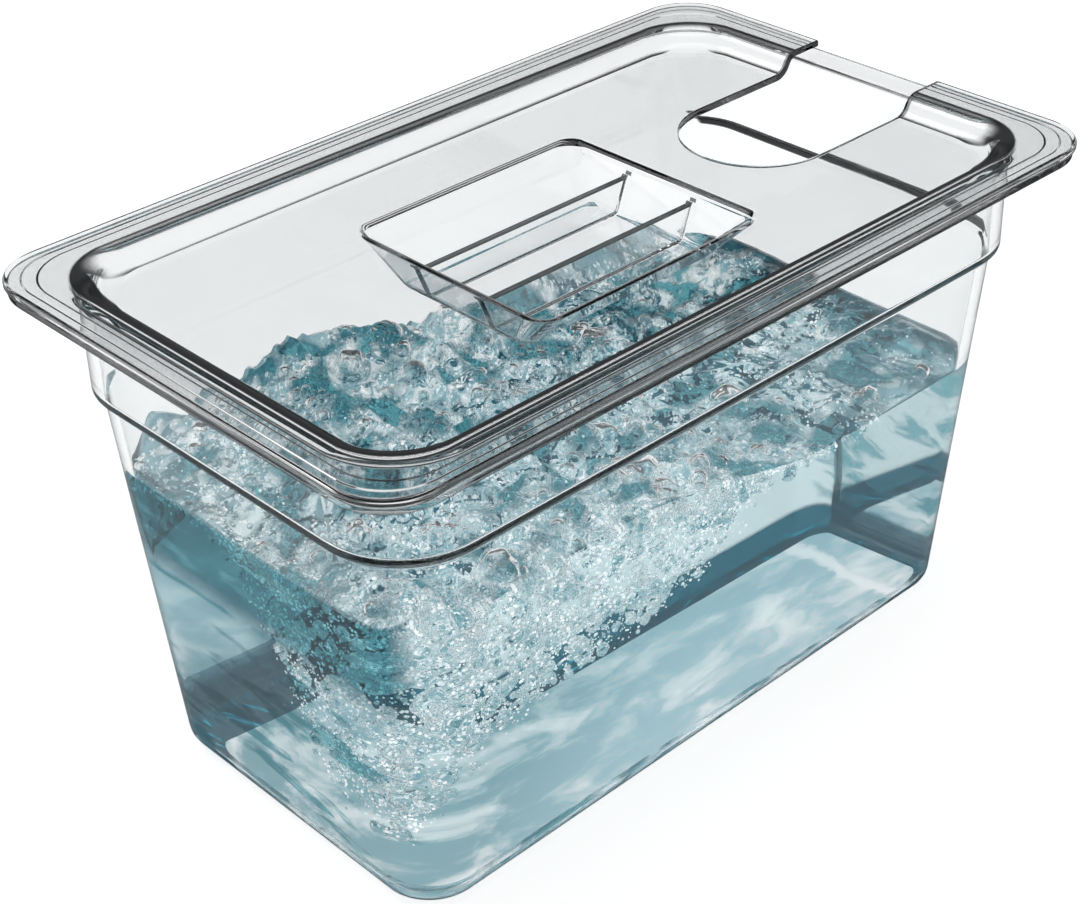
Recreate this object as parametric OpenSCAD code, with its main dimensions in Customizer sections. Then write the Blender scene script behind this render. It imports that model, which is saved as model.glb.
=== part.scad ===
// Sous vide water bath: a clear food-pan tank and its lid, which has a grip pocket
// and an open slot that a stick circulator stands in.
// Origin: centre of the lid's outline, on the plane that the tank stands on. +X is the slot end.

/* [Outline] */
// Length over the lid's rim, along X
rim_l = 265; // [255:1:285]
// Width over the lid's rim, along Y
rim_w = 160; // [155:1:170]
// Corner radius of the lid's rim
rim_r = 16; // [13:0.5:18]
// Height from the base to the lid's top
total_h = 152; // [140:1:170]

/* [Tank] */
// Wall thickness
wall_t = 3; // [2.5:0.25:3.5]
// Thickness of the bottom
bottom_t = 3.5; // [3:0.25:4]
// Thickness of the flange
flange_t = 2.6; // [2.2:0.1:3.2]
// How far the flange's edge lies inside the lid's edge
flange_inset = 0.6; // [0.2:0.1:1]
// Inset of the upper wall from the lid's edge
upper_inset = 10.8; // [10:0.2:12]
// Height of the shoulder that the walls step in at
shoulder_z = 120.5; // [110:0.5:124]
// Height of the shoulder's slope
shoulder_h = 2; // [1.5:0.25:3]
// How far the walls step in at the shoulder
shoulder_step = 2.7; // [2:0.1:3.5]
// Inset of the lower wall at the base, before its fillet
base_inset = 23.2; // [21:0.2:26]
// Vertical corner radius of the upper wall
upper_r = 25; // [22:0.5:27]
// Vertical corner radius at the base
base_r = 15.5; // [14:0.5:20]
// Fillet around the base
base_fillet = 7; // [5:0.5:9]

/* [Lid] */
// Thickness of the lid's plates
lid_t = 2.4; // [2:0.1:2.8]
// Depth of the panel below the rim
panel_drop = 5.7; // [5:0.1:6.5]
// Inset of the rim's inner edge
rim_flat = 9.5; // [9:0.25:10]
// Inset of the flat panel's edge
panel_inset = 19.5; // [18:0.5:21]
// Width of the groove under the rim
groove_w = 3; // [2:0.25:4]
// Depth of the groove under the rim
groove_d = 0.8; // [0.5:0.1:1.2]
// Inset of the groove's outer side
groove_inset = 3.2; // [2.5:0.1:4]

/* [Grip pocket] */
// Pocket length at the panel, along X
pocket_l = 80; // [70:1:90]
// Pocket width at the panel, along Y
pocket_w = 73.6; // [66:0.2:80]
// Pocket centre along X
pocket_x = -3; // [-8:0.5:0]
// Pocket depth below the panel
pocket_d = 13.8; // [11:0.2:15]
// How far the pocket's end walls lean in
lean_x = 5.5; // [4:0.25:8]
// How far the pocket's side walls lean in
lean_y = 13.8; // [10:0.2:16]
// Radius of the pocket's corners
pocket_r = 2.5; // [2.4:0.1:3.5]
// Thickness of the two grip fins
fin_t = 2; // [1.5:0.25:2.5]
// Height of the grip fins above the pocket's floor
fin_h = 10; // [8:0.25:10.5]
// Distance between the middles of the fins
fin_gap = 25; // [22:0.5:28]

/* [Circulator slot] */
// Width of the slot
slot_w = 46; // [42:0.5:48]
// Place of the slot's round end's centre, along X
slot_x = 78; // [74:0.5:82]

/* [Hidden] */

hull_fn = 32;               // facets of the rounded shapes that are lofted
true_fn = 96;               // facets of the plain round shapes
skin = 0.02;                // thickness of a loft's levels
over = 1;                   // how far a cut runs past a face
seat_gap = 0.4;             // clearance between the lid's dish and the tank's mouth
fillet_steps = 5;           // levels of a lofted fillet
fin_root = 0.6;             // how far a fin runs into the floor and the end walls

lid_z = total_h - lid_t;                        // top of the flange, underside of the rim
flange_z = lid_z - flange_t;                    // underside of the flange
panel_z = total_h - panel_drop;                 // top of the panel
mouth_inset = upper_inset + wall_t;             // inner face of the upper wall
mouth_slope = mouth_inset - rim_flat;           // the mouth's 45 degree bevel
lower_inset = upper_inset + shoulder_step;      // outer face just below the shoulder
lower_z = shoulder_z - shoulder_h;              // foot of the shoulder's slope
draft = (base_inset - lower_inset) / lower_z;   // inset gained per unit of height
inner_r = upper_r - wall_t;                     // inner corner radius of the upper wall
cavity_fillet = base_fillet - wall_t;           // fillet around the cavity's floor
floor_z = panel_z - pocket_d;                   // top of the pocket's floor
fin_lean = lean_x * fin_h / pocket_d;           // how far the end walls lean out over a fin

// Inset of the tank's outer face at a height below the shoulder
function outer_inset(z) = base_inset - draft * z;

// Levels [height, inset, corner radius] of a fillet that rises from a floor
function fillet(floor, foot_inset, r, corner) = [
    for (i = [0 : fillet_steps])
        let (a = 90 * i / fillet_steps, s = r * (1 - cos(90 - a)))
            [floor + r * (1 - cos(a)), foot_inset + s, corner - s]
];

// A rectangle with round corners, inset from the lid's outline
module outline(inset, r) {
    hx = rim_l / 2 - inset;
    hy = rim_w / 2 - inset;
    rounded_rect(hx, hy, r);
}

// A rectangle of half sizes hx and hy with corners of radius r
module rounded_rect(hx, hy, r) {
    square([2 * hx, 2 * (hy - r)], center = true);
    square([2 * (hx - r), 2 * hy], center = true);
    for (sx = [-1, 1], sy = [-1, 1])
        translate([sx * (hx - r), sy * (hy - r)])
            circle(r);
}

// A straight-sided block between two heights
module block(z0, z1, inset, r) {
    translate([0, 0, z0])
        linear_extrude(z1 - z0)
            outline(inset, r, $fn = true_fn);
}

// A solid that follows levels of [height, inset, corner radius]
module loft(levels) {
    hull()
        for (level = levels)
            translate([0, 0, level[0]])
                linear_extrude(skin)
                    outline(level[1], level[2], $fn = hull_fn);
}

// The tank's outside, up to and with its flange
module tank_outside() {
    block(flange_z, lid_z, flange_inset, rim_r);
    block(shoulder_z, flange_z + skin, upper_inset, upper_r);
    loft([[lower_z, lower_inset, upper_r - shoulder_step], [shoulder_z, upper_inset, upper_r]]);
    loft(concat(
        fillet(0, outer_inset(base_fillet), base_fillet, base_r),
        [[lower_z, lower_inset, upper_r - shoulder_step]]
    ));
}

// The tank's hollow: tapered below the shoulder, straight above it, bevelled at the mouth
module tank_hollow() {
    foot = outer_inset(base_fillet) + wall_t;
    block(shoulder_z, lid_z + over, mouth_inset, inner_r);
    loft([
        [lower_z, lower_inset + wall_t, inner_r - shoulder_step],
        [shoulder_z, mouth_inset, inner_r]
    ]);
    loft(concat(
        fillet(bottom_t, foot, cavity_fillet, base_r - wall_t),
        [[lower_z, lower_inset + wall_t, inner_r - shoulder_step]]
    ));
    loft([
        [lid_z - mouth_slope, mouth_inset, inner_r],
        [lid_z, rim_flat, inner_r],
        [lid_z + over, rim_flat, inner_r]
    ]);
}

// Clear tank: flange, straight upper wall, shoulder, tapered walls and a filleted base
module tank() {
    color([0.86, 0.9, 0.92, 0.45])
        difference() {
            tank_outside();
            tank_hollow();
        }
}

// The grip pocket's shape, grown by t; its top is at the height z_top
module pocket(t, z_top) {
    top_hx = pocket_l / 2 + t;
    top_hy = pocket_w / 2 + t;
    translate([pocket_x, 0, 0])
        hull() {
            translate([0, 0, floor_z - t])
                linear_extrude(skin)
                    rounded_rect(top_hx - lean_x, top_hy - lean_y, pocket_r, $fn = hull_fn);
            translate([0, 0, panel_z - t])
                linear_extrude(z_top - panel_z + t)
                    rounded_rect(top_hx, top_hy, pocket_r, $fn = hull_fn);
        }
}

// An upright fin along X, whose ends run into the pocket's leaning end walls
module fin(y) {
    foot = pocket_l / 2 - lean_x + fin_root;
    translate([pocket_x, y + fin_t / 2, floor_z])
        rotate([90, 0, 0])
            linear_extrude(fin_t)
                polygon([
                    [-foot, -fin_root],
                    [foot, -fin_root],
                    [foot + fin_lean, fin_h],
                    [-foot - fin_lean, fin_h]
                ]);
}

// The slot: a round end and a straight run out through the rim
module slot() {
    translate([slot_x, 0, panel_z - pocket_d])
        cylinder(d = slot_w, h = pocket_d + panel_drop + over, $fn = true_fn);
    translate([slot_x, -slot_w / 2, panel_z - pocket_d])
        cube([rim_l / 2 - slot_x + over, slot_w, pocket_d + panel_drop + over]);
}

// The shallow groove under the rim
module rim_groove() {
    difference() {
        block(lid_z - over, lid_z + groove_d, groove_inset, rim_r);
        block(lid_z - 2 * over, lid_z + over, groove_inset + groove_w, rim_r);
    }
}

// Clear lid: flat rim, a dished panel, the grip pocket with its fins, and the slot
module lid() {
    dish_top = rim_flat + seat_gap;
    dish_foot = mouth_inset + seat_gap + lid_t;
    shelf_inset = (rim_flat + 2 * panel_inset) / 3;
    color([0.8, 0.82, 0.84, 0.45]) {
        difference() {
            union() {
                block(lid_z, total_h, 0, rim_r);
                loft([
                    [panel_z - lid_t, dish_foot, inner_r],
                    [lid_z - mouth_slope, mouth_inset + seat_gap, inner_r],
                    [lid_z, dish_top, inner_r]
                ]);
                pocket(lid_t, panel_z - skin);
            }
            loft([
                [panel_z, panel_inset, inner_r - lid_t],
                [panel_z + lid_t / 2, shelf_inset, inner_r - lid_t / 2],
                [total_h + over, rim_flat - over, inner_r]
            ]);
            pocket(0, panel_z + over);
            slot();
            rim_groove();
        }
        for (side = [-1, 1])
            fin(side * fin_gap / 2);
    }
}

tank();
lid();
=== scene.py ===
"""A clear sous vide water bath: a tank with a slotted lid, full of bubbling water. Metres."""

import math
import random

import bmesh
import bpy
import numpy as np
from mathutils import Matrix, Vector, noise


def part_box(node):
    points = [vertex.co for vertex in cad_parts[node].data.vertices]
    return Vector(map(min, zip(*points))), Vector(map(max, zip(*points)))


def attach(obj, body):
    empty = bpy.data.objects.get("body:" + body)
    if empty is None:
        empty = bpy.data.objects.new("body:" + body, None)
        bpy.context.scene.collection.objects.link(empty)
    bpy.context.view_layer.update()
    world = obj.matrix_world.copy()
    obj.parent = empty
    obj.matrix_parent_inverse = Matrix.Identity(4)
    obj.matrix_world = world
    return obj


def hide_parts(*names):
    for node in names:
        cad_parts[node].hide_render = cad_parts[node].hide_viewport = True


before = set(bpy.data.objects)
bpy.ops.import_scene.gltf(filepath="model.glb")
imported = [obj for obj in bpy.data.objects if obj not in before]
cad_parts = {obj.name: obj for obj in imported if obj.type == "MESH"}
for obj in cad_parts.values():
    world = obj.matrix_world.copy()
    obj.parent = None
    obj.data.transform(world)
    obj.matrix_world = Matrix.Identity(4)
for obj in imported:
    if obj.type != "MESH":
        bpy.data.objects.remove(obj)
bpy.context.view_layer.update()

MM = 0.001
RANDOM = random.Random(11)

# ---------------------------------------------------------------- driving sizes, in millimetres
TANK_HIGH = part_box("tank")[1] / MM
LID_LOW, LID_HIGH = (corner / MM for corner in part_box("lid"))
RIM_X = (LID_HIGH.x - LID_LOW.x) / 2       # half length of the rim
RIM_Y = (LID_HIGH.y - LID_LOW.y) / 2       # half width of the rim
TOP_Z = LID_HIGH.z                         # top of the lid's rim
FLANGE_TOP = TANK_HIGH.z                   # top of the tank's flange
LID_T = TOP_Z - FLANGE_TOP                 # thickness of the lid's plates
RIM_R = 16                                 # corner radius of both rims
AIR_GAP = 0.15                             # clearance that keeps touching clear faces apart
WET = 0.2                                  # how far the water reaches into the wall, so no air is between

# the tank; an inset is a distance inward from the lid's outline
WALL_T = 3                                 # thickness of the walls
BOTTOM_T = 3.5                             # thickness of the bottom
FLANGE_T = 2.6                             # thickness of the flange
FLANGE_INSET = RIM_X - TANK_HIGH.x         # inset of the flange's edge
UPPER_INSET = 10.8                         # inset of the upper wall's outside
SHOULDER_Z = 120.5                         # top of the shoulder
SHOULDER_H = 2                             # height of the shoulder's slope
SHOULDER_STEP = 2.7                        # how far the walls step in at the shoulder
BASE_INSET = 23.2                          # inset of the lower wall at the base, before its fillet
UPPER_R, BASE_R = 25, 15.5                 # radii of the upright corners, above and at the base
BASE_FILLET = 7                            # fillet round the base

# the lid
PANEL_Z = TOP_Z - 5.7                      # top of the panel
RIM_FLAT = 9.5                             # inset of the rim's inner edge
PANEL_INSET = 19.5                         # inset of the flat panel's edge
WALL_TOP, WALL_FOOT = 14.2, 16.8           # insets of the dish's wall, before its fillets
WALL_TOP_R, WALL_FOOT_R = 5.6, 4.0         # fillets at the top and the foot of the dish's wall
GROOVE_IN, GROOVE_W, GROOVE_D = 3.2, 3.0, 0.8    # inset, width and depth of the groove under the rim
GROOVE_SLOPE = 0.3                         # how far the groove's sides lean

# the grip pocket and the circulator slot
POCKET_X = -3.0                            # middle of the pocket
POCKET_L, POCKET_W, POCKET_D = 80.0, 73.6, 13.8
POCKET_LEAN_X, POCKET_LEAN_Y = 5.5, 13.8   # how far its end walls and its side walls lean in
POCKET_R = 1.2                             # radius of its corners, at its floor
POCKET_FLOOR_R, POCKET_TOP_R = 1.4, 3.0    # fillets of its inside, at its floor and its mouth
MERGE = 0.03                               # how far a fillet runs past the face that it meets
FIN_T, FIN_H, FIN_GAP = 2.0, 10.0, 25.0    # thickness and height of the fins, and between their middles
FIN_ROOT = 0.8                             # how far a fin runs into the floor and the end walls
SLOT_W, SLOT_X = 46.0, 78.0                # width of the slot, and the middle of its round end

# the water
WATER_Z = 82.5                             # calm level, at the slot end
SURGE = 14.3                               # how much higher the boiling end stands
CAUSTIC_X = 96.0                           # the painted bright line along the slot end of the tank's floor
SHADE_LOW, SHADE_HIGH = 62, 76             # heights between which painted shade darkens the closed end's water
FOOT_X, FOOT_Y, FOOT_Z = 100, 35, 10       # inner sides and top of the band of painted shade and faint painted glow at the slot end's and +Y foot
CLEAR_OF_WALL = 0.4                        # gap between a bubble and the tank
# lowest bubbles as (place along the wall, height), on the long side wall and on the closed end's wall
SIDE_EDGE = [(-106, 22), (-96, 44), (-66, 55), (-38, 54), (-12, 62), (10, 74), (34, 84), (60, 95)]
END_EDGE = [(-62, 22), (-22, 24), (-12, 48), (-4, 66), (4, 86), (30, 97), (60, 99)]
SIDE_SHIFT, SIDE_DROP = 0.545, 0.484       # how the side wall's edge moves along and down, per way inward
END_SHIFT, END_DROP = 0.586, 0.492         # the same for the closed end's edge

FLAG = (0.06, 0.075, 0.08)                 # colour of the studio's dark band


# ---------------------------------------------------------------- camera


def add_camera():
    """The camera at the photograph's viewing angle: a long lens above the near left corner."""
    azimuth, elevation, roll = math.radians(-43.42), math.radians(31.45), math.radians(-1.37)
    target = Vector((2.3, 6.0, 85.4)) * MM
    distance = 0.632
    back = Vector((
        math.sin(azimuth) * math.cos(elevation),
        -math.cos(azimuth) * math.cos(elevation),
        math.sin(elevation),
    ))
    right = Vector((math.cos(azimuth), math.sin(azimuth), 0))
    up = back.cross(right)
    rolled_right = math.cos(roll) * right + math.sin(roll) * up
    rolled_up = -math.sin(roll) * right + math.cos(roll) * up
    data = bpy.data.cameras.new("camera")
    data.sensor_width = 36
    data.lens = 73.33
    data.shift_x = -0.0195
    data.shift_y = -0.0486
    data.clip_start = 0.01
    camera = bpy.data.objects.new("camera", data)
    columns = Matrix((rolled_right, rolled_up, back)).transposed().to_4x4()
    camera.matrix_world = Matrix.Translation(target + back * distance) @ columns
    bpy.context.scene.collection.objects.link(camera)
    bpy.context.scene.camera = camera


# ---------------------------------------------------------------- meshes


def new_object(name, verts, faces, smooth=True):
    """A mesh object from points in millimetres."""
    mesh = bpy.data.meshes.new(name)
    mesh.from_pydata([tuple(c * MM for c in v) for v in verts], [], faces)
    mesh.update()
    made = bpy.data.objects.new(name, mesh)
    bpy.context.scene.collection.objects.link(made)
    work = bmesh.new()
    work.from_mesh(mesh)
    bmesh.ops.recalc_face_normals(work, faces=work.faces)
    work.to_mesh(mesh)
    work.free()
    if smooth:
        mesh.shade_smooth()
    return made


def ring_points(half_x, half_y, radius, per_corner, per_x=1, per_y=1):
    """Points round a rectangle with round corners, anticlockwise from the middle of its +X side."""
    points = []
    centres = [(1, 1), (-1, 1), (-1, -1), (1, -1)]
    for i, (sx, sy) in enumerate(centres):
        cx, cy = sx * (half_x - radius), sy * (half_y - radius)
        corner = []
        for k in range(per_corner + 1):
            a = math.radians(90 * i + 90 * k / per_corner)
            corner.append((cx + radius * math.cos(a), cy + radius * math.sin(a)))
        points += corner
        nx, ny = centres[(i + 1) % 4]
        a = math.radians(90 * (i + 1))
        start = corner[-1]
        end = (nx * (half_x - radius) + radius * math.cos(a), ny * (half_y - radius) + radius * math.sin(a))
        count = per_x if i % 2 == 0 else per_y
        for k in range(1, count):
            t = k / count
            points.append((start[0] + (end[0] - start[0]) * t, start[1] + (end[1] - start[1]) * t))
    return points


def bridge(faces, ring_a, ring_b):
    """Quads between two rings of vertex numbers."""
    count = len(ring_a)
    for i in range(count):
        j = (i + 1) % count
        faces.append((ring_a[i], ring_a[j], ring_b[j], ring_b[i]))


def round_profile(corners, steps=6):
    """A path of (inset, height, corner radius) whose corners, each with a fillet radius, are rounded."""
    path = [corners[0][:3]]
    for before, here, after in zip(corners, corners[1:], corners[2:]):
        p, a, b = (np.array(c[:3], float) for c in (here, before, after))
        fillet = here[3]
        if not fillet:
            path.append(tuple(p))
            continue
        to_a, to_b = a - p, b - p
        len_a, len_b = np.hypot(*to_a[:2]), np.hypot(*to_b[:2])
        ua, ub = to_a[:2] / len_a, to_b[:2] / len_b
        half = math.acos(max(-1, min(1, float(ua @ ub)))) / 2
        reach = min(fillet / math.tan(half), 0.98 * len_a, 0.98 * len_b)
        radius = reach * math.tan(half)
        middle = (ua + ub) / np.linalg.norm(ua + ub)
        centre = p[:2] + middle * radius / math.sin(half)
        start, end = p + to_a * reach / len_a, p + to_b * reach / len_b
        a0 = math.atan2(*(start[:2] - centre)[::-1])
        a1 = math.atan2(*(end[:2] - centre)[::-1])
        turn = (a1 - a0 + math.pi) % (2 * math.pi) - math.pi
        for k in range(steps + 1):
            t = k / steps
            spot = centre + radius * np.array([math.cos(a0 + turn * t), math.sin(a0 + turn * t)])
            path.append((spot[0], spot[1], start[2] + (end[2] - start[2]) * t))
    path.append(corners[-1][:3])
    return path


def skin_rings(name, rings):
    """A closed solid over a stack of rings, which have as many points each, capped at both ends."""
    count = len(rings[0])
    numbers = [range(i * count, (i + 1) * count) for i in range(len(rings))]
    faces = []
    for a, b in zip(numbers, numbers[1:]):
        bridge(faces, a, b)
    faces.append(tuple(numbers[0]))
    faces.append(tuple(numbers[-1]))
    return new_object(name, [point for ring in rings for point in ring], faces)


def loft(name, path):
    """A closed solid whose rings follow a path of (inset, height, corner radius)."""
    rings = []
    for inset, z, radius in path:
        outline = ring_points(RIM_X - inset, RIM_Y - inset, radius, per_corner=16)
        rings.append([(x, y, z) for x, y in outline])
    return skin_rings(name, rings)


def apply_modifiers(obj):
    """Replaces an object's mesh with what its modifiers make of it."""
    graph = bpy.context.evaluated_depsgraph_get()
    made = bpy.data.meshes.new_from_object(obj.evaluated_get(graph))
    obj.modifiers.clear()
    obj.data = made


def combine(obj, other, operation):
    """A boolean of obj with other, which is used up."""
    modifier = obj.modifiers.new("boolean", "BOOLEAN")
    modifier.operation = operation
    modifier.object = other
    modifier.solver = "MANIFOLD"
    apply_modifiers(obj)
    bpy.data.objects.remove(other)


def soften_edges(obj, width):
    """Small rounded edges, and normals that keep the flat faces flat."""
    bevel = obj.modifiers.new("edge_round", "BEVEL")
    bevel.width = width * MM
    bevel.segments = 2
    bevel.limit_method = "ANGLE"
    bevel.angle_limit = math.radians(35)
    bevel.use_clamp_overlap = False
    even_normals(obj)


def even_normals(obj):
    """Face-weighted normals, so that curved strips shade smoothly and flat faces stay flat."""
    obj.data.shade_smooth()
    weighted = obj.modifiers.new("even_normals", "WEIGHTED_NORMAL")
    weighted.mode = "FACE_AREA_WITH_ANGLE"
    weighted.weight = 80
    weighted.keep_sharp = True


# ---------------------------------------------------------------- materials


class Wiring:
    """Short ways to wire the nodes of a material or a world."""

    def __init__(self, tree):
        self.nodes, self.links = tree.nodes, tree.links

    def feed(self, socket, value):
        """Links a socket to another, or sets it if the value is a number or a colour."""
        if isinstance(value, bpy.types.NodeSocket):
            self.links.new(value, socket)
        elif isinstance(value, tuple):
            socket.default_value = (*value, 1)
        else:
            socket.default_value = value

    def parts(self, vector):
        """The X, Y and Z of a vector."""
        split = self.nodes.new("ShaderNodeSeparateXYZ")
        self.links.new(vector, split.inputs[0])
        return split.outputs

    def ramp(self, value, low, high):
        """A share that goes smoothly from 0 to 1 as the value goes from low to high."""
        node = self.nodes.new("ShaderNodeMapRange")
        node.interpolation_type = "SMOOTHSTEP"
        node.inputs["From Min"].default_value = low
        node.inputs["From Max"].default_value = high
        self.links.new(value, node.inputs["Value"])
        return node.outputs["Result"]

    def math(self, operation, *values):
        """One step of arithmetic on sockets and numbers."""
        node = self.nodes.new("ShaderNodeMath")
        node.operation = operation
        for socket, value in zip(node.inputs, values):
            self.feed(socket, value)
        return node.outputs["Value"]

    def both(self, *shares):
        """The product of some shares: where all of them hold."""
        product = shares[0]
        for share in shares[1:]:
            product = self.math("MULTIPLY", product, share)
        return product

    def either(self, first, second):
        """The greater of two shares: where one of them holds."""
        return self.math("MAXIMUM", first, second)

    def mix(self, share, under, over):
        """A colour laid over another by a share."""
        node = self.nodes.new("ShaderNodeMix")
        node.data_type = "RGBA"
        for name, value in (("Factor", share), ("A", under), ("B", over)):
            self.feed(node.inputs[name], value)
        return node.outputs["Result"]


class Look(Wiring):
    """A Principled material, with its place and its normal in the object's own space."""

    def __init__(self, name):
        self.material = bpy.data.materials.new(name)
        self.material.use_nodes = True
        super().__init__(self.material.node_tree)
        self.nodes.clear()
        self.output = self.nodes.new("ShaderNodeOutputMaterial")
        self.shader = self.nodes.new("ShaderNodeBsdfPrincipled")
        self.links.new(self.shader.outputs["BSDF"], self.output.inputs["Surface"])
        coordinates = self.nodes.new("ShaderNodeTexCoord").outputs
        self.place = coordinates["Object"]
        self.normal = coordinates["Normal"]
        self.x, self.y, self.z = self.parts(self.place)

    def put(self, values):
        """Sets or links the shader's sockets."""
        for name, value in values.items():
            self.feed(self.shader.inputs[name], value)

    def noise(self, scale, detail=2, roughness=0.5, distortion=0, stretch=(1, 1, 1)):
        """Noise of a scale per metre, drawn out along an axis where stretch is under 1."""
        node = self.nodes.new("ShaderNodeTexNoise")
        node.inputs["Scale"].default_value = scale
        node.inputs["Detail"].default_value = detail
        node.inputs["Roughness"].default_value = roughness
        node.inputs["Distortion"].default_value = distortion
        mapping = self.nodes.new("ShaderNodeMapping")
        mapping.inputs["Scale"].default_value = stretch
        self.links.new(self.place, mapping.inputs["Vector"])
        self.links.new(mapping.outputs["Vector"], node.inputs["Vector"])
        return node.outputs["Fac"]

    def bump(self, height, distance, strength, under=None):
        """Bumps of a height, over other bumps if there are some."""
        node = self.nodes.new("ShaderNodeBump")
        node.inputs["Distance"].default_value = distance
        self.feed(node.inputs["Strength"], strength)
        self.links.new(height, node.inputs["Height"])
        if under:
            self.links.new(under, node.inputs["Normal"])
        return node.outputs["Normal"]

    def between(self, value, low, high, blur):
        """1 where a value in metres lies between two places in millimetres, with blurred ends."""
        rise = self.ramp(value, (low - blur) * MM, low * MM)
        return self.both(rise, self.ramp(value, (high + blur) * MM, high * MM))

    def absorb(self, colour, density):
        """Colour that deepens with the way through the material."""
        node = self.nodes.new("ShaderNodeVolumeAbsorption")
        node.inputs["Color"].default_value = (*colour, 1)
        node.inputs["Density"].default_value = density
        self.links.new(node.outputs["Volume"], self.output.inputs["Volume"])

    def facing(self):
        """0 where the surface is seen straight on, 1 where it is seen edge on."""
        node = self.nodes.new("ShaderNodeLayerWeight")
        node.inputs["Blend"].default_value = 0.5
        return node.outputs["Facing"]

    def tilt(self):
        """1 on level faces, 0 on upright ones."""
        return self.math("ABSOLUTE", self.parts(self.normal)[2])

    def slanted(self):
        """1 on walls and fillets, 0 on level faces."""
        return self.ramp(self.tilt(), 0.985, 0.93)


def clear_plastic(name, density, ior):
    """Moulded clear plastic: polished, with faint flow ripples and a trace of haze."""
    look = Look(name)
    haze = look.ramp(look.noise(90, 5), 0.35, 0.8)
    look.put({
        "Transmission Weight": 1,
        "IOR": ior,
        "Roughness": look.math("MULTIPLY", haze, 0.05),
        "Normal": look.bump(look.noise(38), 0.0006, 0.05),
    })
    look.absorb((0.55, 0.58, 0.6), density)
    return look


def tank_material():
    """The tank's plastic, with painted shade: painted greyer where it is seen edge on, and painted dark and
    less clear in its mouth and shoulder where they are seen so, in place of the dark that bent light shows
    there.

    At the slot end the shoulder is a painted thin dark line from every side.
    """
    look = clear_plastic("clear_tank", 6, 1.4)
    facing = look.facing()
    # painted shade: the mouth's faces are painted dark where they are seen edge on
    mouth_foot = (FLANGE_TOP - (UPPER_INSET + WALL_T - RIM_FLAT) - 1.5) * MM
    mouth = look.both(look.ramp(look.z, mouth_foot, mouth_foot + 0.5 * MM), look.ramp(facing, 0.52, 0.62))
    # painted shade: the shoulder's slope is painted dark where seen edge on, and as a thin line at the slot
    # end
    band = look.between(look.z, SHOULDER_Z - 2.5, SHOULDER_Z + 0.5, 1.5)
    slope = look.both(band, look.ramp(look.tilt(), 0.25, 0.5))
    end_x = RIM_X - UPPER_INSET - WALL_T - SHOULDER_STEP - 1.5
    painted_slot_end_line = look.both(
        look.ramp(look.x, (end_x - 1) * MM, end_x * MM),
        look.ramp(look.z, (SHOULDER_Z - 1) * MM, (SHOULDER_Z - 0.6) * MM),
    )
    shoulder = look.both(slope, look.either(look.ramp(facing, 0.6, 0.8), painted_slot_end_line))
    # share of painted shade, which darkens the colour and lessens the transmission
    dark = look.both(look.either(mouth, shoulder), look.slanted())
    # painted shade: the colour turns grey as the plastic is seen more edge on
    painted_edge_grey = look.mix(look.ramp(facing, 0.65, 0.97), (0.91, 0.918, 0.92), (0.15, 0.15, 0.15))
    look.put({
        "Base Color": look.mix(dark, painted_edge_grey, (0.02, 0.02, 0.022)),
        "Transmission Weight": look.math("MULTIPLY_ADD", dark, -0.75, 1),
        "Specular IOR Level": 0,
    })
    return look.material


def lid_material():
    """The lid's plastic, painted dark as painted shade where its rim and dish walls are seen edge on,
    and as dark lines on the fin tops, the pocket's mouth and the slot's cut faces.
    """
    look = clear_plastic("clear_lid", 5, 1.58)
    facing = look.facing()
    off_middle = [look.math("ABSOLUTE", way) for way in (look.x, look.y)]
    raised = look.ramp(look.z, PANEL_Z * MM, (PANEL_Z + 0.4) * MM)
    # painted shade: raised faces are painted dark where they are seen edge on
    edge_on = look.both(look.ramp(facing, 0.7, 0.86), raised)
    dark = look.either(edge_on, dish_wall_painted_shade(look, facing, off_middle))
    dark = look.either(dark, look.both(fin_top_painted_lines(look, off_middle[1]), 0.82))
    slot_start = SLOT_X - SLOT_W / 2 - 5
    painted_slot_edge = look.both(
        look.slanted(),
        look.ramp(look.x, slot_start * MM, (slot_start + 2) * MM),
        look.ramp(off_middle[1], (SLOT_W / 2 + 1.2) * MM, (SLOT_W / 2 + 0.8) * MM),
    )
    # painted shade: the slot's cut faces are painted dark
    clear = look.mix(painted_slot_edge, (0.97, 0.97, 0.972), (0.1, 0.1, 0.105))
    # the painted shade also takes away most of the transmission
    look.put({
        "Base Color": look.mix(dark, clear, (0.06, 0.06, 0.064)),
        "Transmission Weight": look.math("MULTIPLY_ADD", dark, -0.92, 1),
        "Specular IOR Level": 0,
    })
    return look.material


def dish_wall_painted_shade(look, facing, off_middle):
    """1 on the wall of the lid's dish, between the rim and the panel, where it is seen at a slant: the
    share of painted shade there.
    """
    under_panel = (PANEL_Z - LID_T) * MM
    share = look.both(
        look.ramp(look.z, under_panel, under_panel + 0.3 * MM),
        look.ramp(look.tilt(), 1, 0.995),
        look.ramp(facing, 0.3, 0.5),
    )
    past_panel = []
    for way, half in zip(off_middle, (RIM_X, RIM_Y)):
        rim, panel = half - RIM_FLAT, half - PANEL_INSET
        share = look.both(share, look.ramp(way, (rim + 1.5) * MM, (rim + 1) * MM))
        past_panel.append(look.ramp(way, (panel - 1) * MM, panel * MM))
    return look.both(share, look.either(*past_panel))


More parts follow.
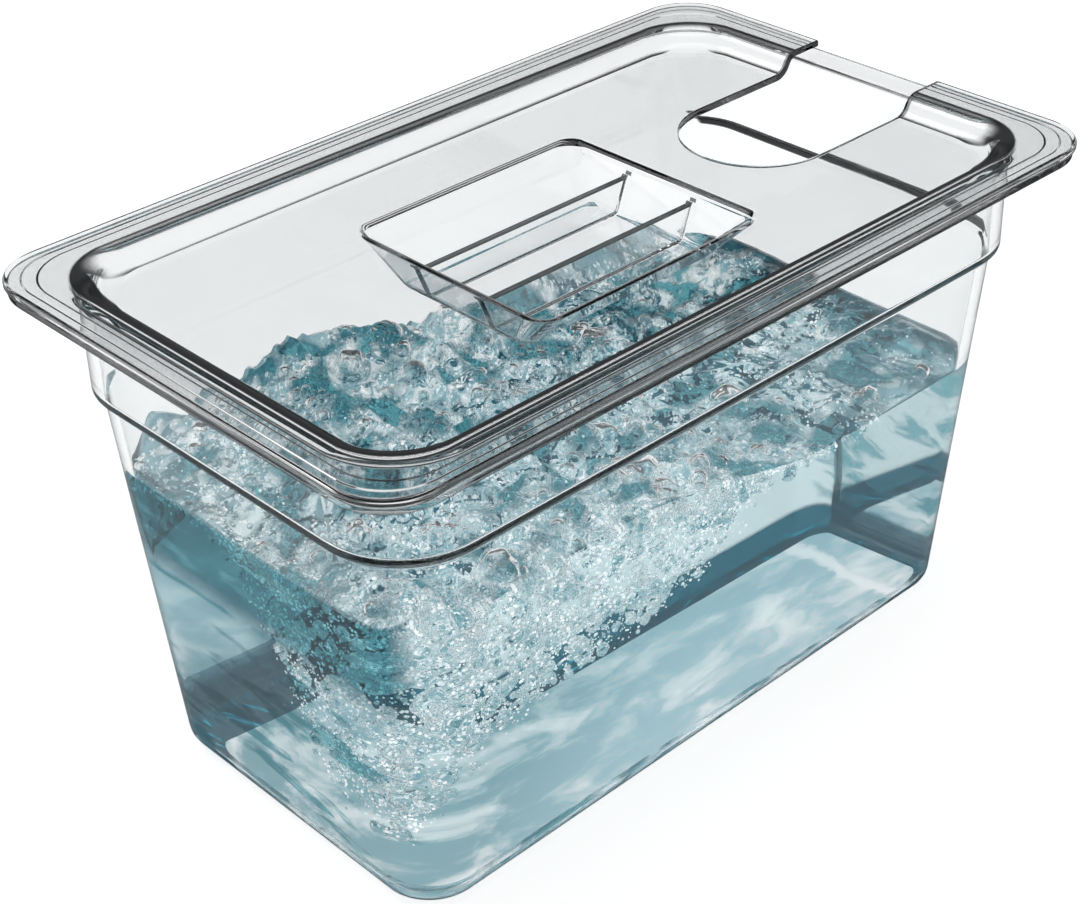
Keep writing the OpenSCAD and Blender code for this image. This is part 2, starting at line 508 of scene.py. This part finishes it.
def fin_top_painted_lines(look, off_middle):
    """1 on the top edges of the grip fins, and 0.8 on the pocket's mouth at the closed end: where dark
    lines are painted as painted shade.
    """
    top = PANEL_Z - POCKET_D + FIN_H
    fins = look.both(
        look.between(off_middle, (FIN_GAP - FIN_T) / 2, (FIN_GAP + FIN_T) / 2, 0.2),
        look.between(look.z, top - 0.4, top + 0.4, 0.2),
    )
    mouth = POCKET_X - POCKET_L / 2
    lip = look.both(
        look.ramp(look.x, (mouth - 3.5) * MM, (mouth - 3) * MM),
        look.ramp(look.x, (mouth + 1.2) * MM, (mouth + 0.8) * MM),
        look.ramp(look.z, (PANEL_Z - 3) * MM, (PANEL_Z - 2.6) * MM),
        look.ramp(off_middle, (POCKET_W / 2 + 1) * MM, POCKET_W / 2 * MM),
        look.slanted(),
        0.8,
    )
    return look.either(fins, lip)


def water_material():
    """Teal water: clear, with colour that deepens with the way through it.

    Its skin is painted darker as painted shade: in patches of the broken surface, in a band and in streaks
    of the closed end, and at the foot of the slot end and of the +Y wall, where the tank's fillet bends the
    light away;
    there it also has a faint painted glow.
    """
    look = Look("bath_water")
    x, y, z = look.x, look.y, look.z
    normal_x, _, normal_z = look.parts(look.normal)
    on_top = look.ramp(normal_z, 0.3, 0.6)
    at_end = look.ramp(normal_x, -0.6, -0.9)
    # painted shade: patches of the surface's top are painted dark teal
    uneven = look.math("MULTIPLY_ADD", look.ramp(x, 0.0, 0.08), -0.04, look.noise(65, 4, distortion=0.6))
    painted_shade_blots = look.ramp(uneven, 0.57, 0.4)
    streaks = look.ramp(look.noise(30, 4, distortion=0.6, stretch=(1, 1, 5)), 0.5, 0.62)
    skin = look.mix(look.both(on_top, painted_shade_blots), (1, 1, 1), (0.015, 0.14, 0.18))
    # painted shade: the closed end is painted darker in a band, then in streaks
    shade = look.both(at_end, look.ramp(z, SHADE_LOW * MM, SHADE_HIGH * MM))
    skin = look.mix(shade, skin, (0.01, 0.12, 0.16))
    skin = look.mix(look.both(at_end, streaks), skin, (0.06, 0.3, 0.36))
    # painted shade: near-black bands at the foot of the slot end and of the +Y wall
    low = look.ramp(z, (FOOT_Z + 1) * MM, (FOOT_Z - 1) * MM)
    far_foot_shade = look.both(look.ramp(y, (FOOT_Y - 2) * MM, (FOOT_Y + 2) * MM), low)
    end_foot_shade = look.both(look.ramp(x, (FOOT_X - 2) * MM, (FOOT_X + 2) * MM), low)
    foot = look.either(far_foot_shade, end_foot_shade)
    for band in (far_foot_shade, end_foot_shade):
        skin = look.mix(band, skin, (0.0, 0.01, 0.02))
    swirl = look.noise(55, 2, distortion=1.2)
    lines = look.bump(swirl, 0.002, look.ramp(z, (BOTTOM_T + 1.5) * MM, (BOTTOM_T - 0.1) * MM))
    # the Emission Color is a faint painted teal glow in the foot bands
    look.put({
        "Base Color": skin,
        "Transmission Weight": 1,
        "Roughness": 0,
        "IOR": 1.333,
        "Emission Color": look.mix(foot, (0, 0, 0), (0, 0.06, 0.085)),
        "Emission Strength": 1,
        "Normal": look.bump(look.noise(160, 3), 0.001, look.both(on_top, 0.15), lines),
    })
    look.absorb((0.1, 0.58, 0.66), 3.4)
    return look.material


def bubble_material():
    """Air inside water: the light bends the other way at its wall, and some patches are painted teal as
    painted shade.
    """
    look = Look("bubble")
    # painted shade: teal patches in the bubbles' colour
    look.put({
        "Base Color": look.mix(look.ramp(look.noise(110, 3), 0.38, 0.5), (0.42, 0.66, 0.71), (1, 1, 1)),
        "Transmission Weight": 1,
        "Roughness": 0,
        "IOR": 0.75,
    })
    return look.material


def froth_material():
    """White froth: specks too small and too many to see through, which glow with painted light."""
    look = Look("froth")
    patch = look.ramp(look.noise(120), 0.35, 0.6)
    colour = look.mix(patch, (0.66, 0.76, 0.79), (0.97, 0.98, 0.99))
    # painted light: the specks glow with their own colour
    look.put({"Base Color": colour, "Emission Color": colour, "Emission Strength": 0.85, "Roughness": 0.2})
    return look.material


def caustics_material():
    """Painted light that the water throws on the tank's floor, glowing: soft white wisps and a line over
    pale blue, which is painted darker towards -X and +Y as painted shade.
    """
    look = Look("floor_caustics")
    wisps = look.noise(30, 8, 0.65, 0.4, stretch=(1, 1.4, 1))
    bent = look.math("MULTIPLY_ADD", wisps, 0.02, look.x)
    off_line = look.math("ABSOLUTE", look.math("SUBTRACT", bent, CAUSTIC_X * MM))
    line = look.ramp(off_line, 0.0045, 0.0015)
    patches = look.ramp(wisps, 0.43, 0.7)
    lean = look.math("MULTIPLY_ADD", look.y, -0.7, look.x)
    # painted shade: the floor's pale blue is darker towards -X and +Y
    pale = look.mix(look.ramp(lean, -0.08, 0.02), (0.25, 0.43, 0.48), (0.44, 0.63, 0.69))
    colour = look.mix(look.either(line, patches), pale, (1, 1, 1))
    # painted light: the plate glows with its colour
    look.put({"Base Color": colour, "Emission Color": colour, "Emission Strength": 0.8, "Roughness": 0.5})
    return look.material


# ---------------------------------------------------------------- tank


def outer_inset(z):
    """Inset of the tank's outer face at a height below the shoulder."""
    foot = UPPER_INSET + SHOULDER_STEP
    return BASE_INSET - (BASE_INSET - foot) * z / (SHOULDER_Z - SHOULDER_H)


def make_tank(material):
    """The tank as one closed loft: up the outside, over the flange and down the inside."""
    foot_z = SHOULDER_Z - SHOULDER_H
    foot_inset = UPPER_INSET + SHOULDER_STEP
    mouth = UPPER_INSET + WALL_T
    inner_foot = outer_inset(BOTTOM_T) + WALL_T
    corners = [
        (BASE_INSET + 24, 0, 5),
        (BASE_INSET, 0, BASE_R, BASE_FILLET),
        (foot_inset, foot_z, UPPER_R - SHOULDER_STEP, 2.2),
        (UPPER_INSET, SHOULDER_Z, UPPER_R, 2.2),
        (UPPER_INSET, FLANGE_TOP - FLANGE_T, UPPER_R, 2.0),
        (FLANGE_INSET, FLANGE_TOP - FLANGE_T, RIM_R, 0.7),
        (FLANGE_INSET, FLANGE_TOP, RIM_R, 0.7),
        (mouth, FLANGE_TOP, UPPER_R - WALL_T, 4.6),
        (mouth, SHOULDER_Z + 0.8, UPPER_R - WALL_T, 2.2),
        (foot_inset + WALL_T, foot_z - 0.4, UPPER_R - WALL_T - SHOULDER_STEP, 2.2),
        (inner_foot, BOTTOM_T, BASE_R - WALL_T, BASE_FILLET - WALL_T),
        (inner_foot + 20, BOTTOM_T, 4),
    ]
    tank = loft("clear_tank", round_profile(corners))
    even_normals(tank)
    tank.data.materials.append(material)
    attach(tank, "tank")
    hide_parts("tank")


# ---------------------------------------------------------------- lid


def extrude_outline(name, outline, z0, z1):
    """A straight-sided block over an outline of (x, y) points."""
    count = len(outline)
    verts = [(x, y, z) for z in (z0, z1) for x, y in outline]
    faces = [tuple(range(count)), tuple(range(count, 2 * count))]
    bridge(faces, range(count), range(count, 2 * count))
    return new_object(name, verts, faces, smooth=False)


def leaning_reach(z, foot, lean, floor_r, top_r, depth):
    """Half size, at a height over the floor, of a wall that leans out by lean per unit of height."""
    slant = math.hypot(1, lean)
    low_end = floor_r * (1 - lean / slant)
    high_start = depth - top_r * (1 - lean / slant)
    if z < low_end:
        centre = foot + lean * low_end - floor_r / slant
        return centre + math.sqrt(max(floor_r ** 2 - (floor_r - z) ** 2, 0))
    if z > high_start:
        centre = foot + lean * high_start + top_r / slant
        return centre - math.sqrt(max(top_r ** 2 - (z - depth + top_r) ** 2, 0))
    return foot + lean * z


def pocket_solid(name, grow, top_z):
    """The grip pocket's shape, grown by a sheet's thickness, with its floor and its mouth rounded."""
    floor_z = PANEL_Z - POCKET_D - grow
    floor_r, top_r = POCKET_FLOOR_R + grow, POCKET_TOP_R - grow
    depth = POCKET_D + MERGE
    bends = [math.radians(90 * k / 8) for k in range(9)]
    heights = [floor_r * (1 - math.cos(a)) for a in bends]
    heights += [depth - top_r * (1 - math.cos(a)) for a in reversed(bends)]
    walls = []
    for size, lean in ((POCKET_L, POCKET_LEAN_X / POCKET_D), (POCKET_W, POCKET_LEAN_Y / POCKET_D)):
        foot = size / 2 - lean * POCKET_D + grow * (math.hypot(1, lean) - lean)
        walls.append([leaning_reach(z, foot, lean, floor_r, top_r, depth) for z in heights])
    levels = [(floor_z + z, hx, hy) for z, hx, hy in zip(heights, *walls)]
    levels.append((top_z, *levels[-1][1:]))
    rings = []
    for z, hx, hy in levels:
        radius = POCKET_R + grow + 0.5 * (hx - levels[0][1])
        rings.append([(x + POCKET_X, y, z) for x, y in ring_points(hx, hy, radius, per_corner=8)])
    return skin_rings(name, rings)


def slot_outline():
    """The circulator slot: a round end, then straight out past the rim."""
    radius = SLOT_W / 2
    steps = 40
    arc = [math.radians(90 + 180 * k / steps) for k in range(steps + 1)]
    points = [(SLOT_X + radius * math.cos(a), radius * math.sin(a)) for a in arc]
    return [(RIM_X + 5, radius)] + points + [(RIM_X + 5, -radius)]


def make_lid(material):
    """The lid: a dished plate, with the grip pocket, its fins and the slot worked into it."""
    under = FLANGE_TOP + AIR_GAP
    inner_r = UPPER_R - WALL_T
    wall = np.array([WALL_FOOT - WALL_TOP, PANEL_Z - TOP_Z])
    across = np.array([wall[1], -wall[0]]) / np.hypot(*wall) * LID_T
    slope = wall[0] / wall[1]

    def under_wall(z):
        """Inset of the sheet's underside where it would reach a height."""
        return WALL_TOP + across[0] + slope * (z - TOP_Z - across[1])

    low = PANEL_Z - LID_T
    corners = [
        (PANEL_INSET + 14, PANEL_Z, 14),
        (WALL_FOOT, PANEL_Z, inner_r - 3, WALL_FOOT_R),
        (WALL_TOP, TOP_Z, inner_r - 1, WALL_TOP_R),
        (0, TOP_Z, RIM_R, 0.8),
        (0, under, RIM_R, 0.5),
        (GROOVE_IN, under, RIM_R, 0.2),
        (GROOVE_IN + GROOVE_SLOPE, under + GROOVE_D, RIM_R, 0.2),
        (GROOVE_IN + GROOVE_W, under + GROOVE_D, RIM_R, 0.2),
        (GROOVE_IN + GROOVE_W + GROOVE_SLOPE, under, RIM_R, 0.2),
        (under_wall(under), under, inner_r - 1, WALL_TOP_R - LID_T),
        (under_wall(low), low, inner_r - 3, WALL_FOOT_R + LID_T),
        (PANEL_INSET + 14, low, 14),
    ]
    lid = loft("clear_lid", round_profile(corners))
    combine(lid, pocket_solid("pocket_outside", LID_T, PANEL_Z - 1.0), "UNION")
    combine(lid, pocket_solid("pocket_inside", 0, PANEL_Z + 3), "DIFFERENCE")
    floor_z = PANEL_Z - POCKET_D
    foot = POCKET_L / 2 - POCKET_LEAN_X + FIN_ROOT
    lean = POCKET_LEAN_X * FIN_H / POCKET_D
    for side in (-1, 1):
        y = side * FIN_GAP / 2
        outline = [(-foot, -FIN_ROOT), (foot, -FIN_ROOT), (foot + lean, FIN_H), (-foot - lean, FIN_H)]
        verts = [
            (POCKET_X + px, y + half, floor_z + pz)
            for half in (-FIN_T / 2, FIN_T / 2) for px, pz in outline
        ]
        faces = [(0, 1, 2, 3), (4, 5, 6, 7)]
        bridge(faces, range(4), range(4, 8))
        combine(lid, new_object("fin", verts, faces, smooth=False), "UNION")
    combine(lid, extrude_outline("slot_cut", slot_outline(), PANEL_Z - 10, TOP_Z + 5), "DIFFERENCE")
    soften_edges(lid, 0.45)
    lid.data.materials.clear()
    lid.data.materials.append(material)
    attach(lid, "lid")
    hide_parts("lid")


# ---------------------------------------------------------------- water


def smooth(value, low, high):
    """0 below low, 1 above high, and a smooth rise between; low may be the greater."""
    t = max(0.0, min(1.0, (value - low) / (high - low)))
    return t * t * (3 - 2 * t)


def water_height(x, y):
    """Height of the water's surface, in millimetres: level along every wall but the +Y one, else broken."""
    boil = smooth(x, 70, -20)
    base = WATER_Z + SURGE * smooth(x, 45, -40)
    half_x, half_y = cavity_half_sizes(base)
    to_wall = min(half_x - abs(x), half_y - abs(y))
    loose = smooth(to_wall, 0, 9) if y < 0.8 * half_y else 1
    swell = noise.noise(Vector((x * 0.03, y * 0.03, 1.7))) * 6
    chop = noise.noise(Vector((x * 0.09, y * 0.09, 4.1))) * 5
    ridge = (1 - abs(noise.noise(Vector((x * 0.17, y * 0.17, 8.3)))) * 2) * 2.2
    fine = noise.noise(Vector((x * 0.4, y * 0.4, 2.9))) * 1.0
    return base + loose * (0.55 + 0.45 * boil) * (swell + chop + ridge + fine)


def make_water(material):
    """The water: a body that follows the tank's hollow, under a broken surface."""
    gap = -WET
    spacing = {"per_corner": 24, "per_x": 150, "per_y": 60}
    inner_foot = outer_inset(BOTTOM_T) + WALL_T + gap
    mid_z = WATER_Z - 14
    foot_inset = outer_inset(mid_z) + WALL_T + gap
    top_inset = outer_inset(WATER_Z) + WALL_T + gap
    corners = [
        (inner_foot + 30, BOTTOM_T + gap, 4),
        (inner_foot, BOTTOM_T + gap, BASE_R - WALL_T, BASE_FILLET - WALL_T),
        (foot_inset, mid_z, cavity_corner(mid_z)),
    ]
    rings = []
    for inset, z, radius in round_profile(corners, 8):
        outline = ring_points(RIM_X - inset, RIM_Y - inset, radius, **spacing)
        rings.append([(x, y, z) for x, y in outline])
    half_x, half_y = RIM_X - top_inset, RIM_Y - top_inset
    rim_r = cavity_corner(WATER_Z)
    edge = []
    for x, y in ring_points(half_x, half_y, rim_r, **spacing):
        level = water_height(x, y)
        out = top_inset - (outer_inset(level) + WALL_T + gap)
        edge.append((x * (half_x + out) / half_x, y * (half_y + out) / half_y, level))
    rings.append(edge)
    steps = 46
    for k in range(1, steps + 1):
        inward = half_y * 0.995 * k / steps
        radius = max(rim_r * (1 - k / steps), 0.05)
        outline = ring_points(half_x - inward, half_y - inward, radius, **spacing)
        rings.append([(x, y, water_height(x, y)) for x, y in outline])
    water = skin_rings("bath_water", rings)
    even_normals(water)
    water.data.materials.append(material)
    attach(water, "tank")


def cavity_corner(z):
    """Radius of the hollow's upright corners at a height."""
    return BASE_R - WALL_T + (UPPER_R - SHOULDER_STEP - BASE_R) * z / (SHOULDER_Z - SHOULDER_H)


def cavity_half_sizes(z):
    """Half length and half width of the water at a height."""
    inset = outer_inset(z) + WALL_T
    return RIM_X - inset, RIM_Y - inset


def along(edge, place):
    """Height of a chain of (place, height) points at a place."""
    return float(np.interp(place, *zip(*edge)))


def plume_floor(x, y, half_x, half_y):
    """Lowest height that bubbles reach: the walls' edges, carried inward and down."""
    inward = y + half_y
    at_side = x - SIDE_SHIFT * inward
    if at_side > -half_x:
        return along(SIDE_EDGE, at_side) - SIDE_DROP * inward
    inward = x + half_x
    return along(END_EDGE, y - END_SHIFT * inward) - END_DROP * inward


def pick_place(radius, reach):
    """A random place by the long side wall, by the closed end's wall or under the surface."""
    which = RANDOM.random()
    inward = RANDOM.expovariate(1 / reach)
    z = RANDOM.uniform(12, 102)
    if which < 0.45:
        half_x, half_y = cavity_half_sizes(z)
        x = RANDOM.uniform(-half_x, 70)
        return x, -half_y + radius + CLEAR_OF_WALL + inward, z
    if which < 0.6:
        half_x, half_y = cavity_half_sizes(z)
        return -half_x + radius + CLEAR_OF_WALL + inward, RANDOM.uniform(-half_y, 60), z
    half_x, half_y = cavity_half_sizes(60)
    x = RANDOM.uniform(-half_x, half_x) if RANDOM.random() < 0.6 else RANDOM.uniform(-half_x, 40)
    y = RANDOM.uniform(-half_y, half_y)
    return x, y, water_height(x, y) - radius * RANDOM.uniform(0.1, 0.9) - RANDOM.expovariate(1 / 3)


def inside_water(x, y, z, radius, level):
    """Whether a bubble is clear of the tank's walls and corners, and under the surface."""
    half_x, half_y = cavity_half_sizes(z)
    room = radius + CLEAR_OF_WALL
    corner_r = BASE_R + 2
    past_x = max(0, abs(x) - half_x + corner_r)
    past_y = max(0, abs(y) - half_y + corner_r)
    in_corner = math.hypot(past_x, past_y) <= corner_r - 2 * CLEAR_OF_WALL - radius
    in_walls = abs(x) <= half_x - room and abs(y) <= half_y - room
    return in_walls and in_corner and z <= level - radius * 0.1


def scatter(count, smallest, largest, reach, clump_size):
    """Places and radii of bubbles in the plume and under the surface, in clumps."""
    spots = []
    while len(spots) < count:
        radius = smallest + (largest - smallest) * RANDOM.random() ** 2.2
        x, y, z = pick_place(radius, reach)
        level = water_height(x, y)
        if not inside_water(x, y, z, radius, level):
            continue
        half_x, half_y = cavity_half_sizes(z)
        ragged = 7 * noise.noise(Vector((x * 0.09, y * 0.09, z * 0.09 + 7.7)))
        low = max(plume_floor(x, y, half_x, half_y) + ragged, BOTTOM_T + radius + 3)
        depth = level - z
        by_surface = smooth(depth, 7, 1) * (0.45 + 0.55 * smooth(x, 100, 40))
        in_plume = smooth(z, low - 1, low + 9)
        clump = smooth(noise.noise(Vector((x, y, z)) / clump_size), -0.45, 0.3)
        if RANDOM.random() > max(by_surface, in_plume) * (0.12 + 0.88 * clump):
            continue
        spots.append((x, y, z, radius))
    return spots


def make_bubbles(name, spots, subdivisions, crumple, material):
    """One piece that holds many closed round bubbles; crumple pushes their walls in and out."""
    work = bmesh.new()
    bmesh.ops.create_icosphere(work, subdivisions=subdivisions, radius=1)
    unit = np.array([v.co for v in work.verts])
    tris = np.array([[v.index for v in f.verts] for f in work.faces])
    work.free()
    verts, faces = [], []
    for i, (x, y, z, radius) in enumerate(spots):
        shape = unit * radius
        if crumple:
            offset = Vector((i * 3.1, 0, 0))
            shift = [1 + crumple * noise.noise(Vector(u) * 1.6 + offset) for u in unit.tolist()]
            shape = shape * np.array(shift)[:, None]
        squash = np.array([1, 1, RANDOM.uniform(0.8, 1.05)])
        faces.append(tris + len(unit) * i)
        verts.append(shape * squash + np.array([x, y, z]))
    made = new_object(name, np.concatenate(verts).tolist(), np.concatenate(faces).tolist())
    made.data.materials.append(material)
    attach(made, "tank")


def make_caustics(material):
    """A thin plate just over the tank's floor, painted with the light that the water gathers there."""
    half_x, half_y = cavity_half_sizes(BOTTOM_T)
    ring = ring_points(half_x - 6, half_y - 11, 9, 10)
    outline = [(x, y - 5.5) for x, y in ring]
    plate = extrude_outline("floor_caustics", outline, BOTTOM_T + 0.5, BOTTOM_T + 0.8)
    plate.data.materials.append(material)
    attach(plate, "tank")


# ---------------------------------------------------------------- stage


def add_stage():
    """A pale floor that glows, a white dome with a dark band, and one large soft light.

    A mirrored ray doesn't see the floor's glow, as through a polariser.
    """
    far, below = 9000, -0.3
    corners = [(-far, -far, below), (far, -far, below), (far, far, below), (-far, far, below)]
    floor = new_object("floor", corners, [(0, 1, 2, 3)], smooth=False)
    look = Look("floor")
    ray = look.nodes.new("ShaderNodeLightPath").outputs
    mirrored = look.math("MULTIPLY", ray["Is Glossy Ray"], ray["Is Reflection Ray"])
    look.put({
        "Base Color": (0.93, 0.93, 0.93),
        "Roughness": 0.7,
        "Emission Color": (1, 1, 1),
        "Emission Strength": look.math("MULTIPLY_ADD", mirrored, -0.8, 0.8),
    })
    floor.data.materials.append(look.material)

    world = bpy.data.worlds.new("studio")
    world.use_nodes = True
    bpy.context.scene.world = world
    sky = Wiring(world.node_tree)
    background = sky.nodes["Background"]
    height = sky.parts(sky.nodes.new("ShaderNodeTexCoord").outputs["Generated"])[2]
    bright = sky.math("MAXIMUM", sky.ramp(height, 0.3, 0.2), sky.ramp(height, 0.86, 0.95))
    sky.feed(background.inputs["Color"], sky.mix(bright, FLAG, (1, 1, 1)))
    background.inputs["Strength"].default_value = 1.0

    light = bpy.data.lights.new("key", "AREA")
    light.shape = "RECTANGLE"
    light.size, light.size_y = 0.9, 0.6
    light.energy = 3
    key = bpy.data.objects.new("key", light)
    key.location = (-0.3, 0.9, 1.3)
    key.rotation_euler = (Vector((0, 0, 0.1)) - Vector(key.location)).to_track_quat("-Z", "Y").to_euler()
    bpy.context.scene.collection.objects.link(key)


def set_light_paths():
    """Room for light to pass many clear walls."""
    scene = bpy.context.scene
    scene.view_settings.view_transform = "Standard"
    scene.cycles.max_bounces = 32
    scene.cycles.transmission_bounces = 32
    scene.cycles.glossy_bounces = 12
    scene.cycles.use_denoising = True


add_camera()
add_stage()
set_light_paths()
make_tank(tank_material())
make_lid(lid_material())
make_water(water_material())
AIR = bubble_material()
make_bubbles("bubbles_fine", scatter(2400, 0.5, 1.1, 9, 9), 2, 0, AIR)
for half in ("a", "b"):
    make_bubbles("bubbles_medium_" + half, scatter(610, 1.1, 3.0, 10, 12), 3, 0.12, AIR)
make_bubbles("bubbles_large", scatter(150, 2.8, 5.6, 9, 16), 4, 0.25, AIR)
FROTH = froth_material()
make_bubbles("froth_specks_a", scatter(9500, 0.25, 0.6, 8, 7), 1, 0, FROTH)
make_bubbles("froth_specks_b", scatter(5000, 0.2, 0.5, 12, 5), 1, 0, FROTH)
make_caustics(caustics_material())
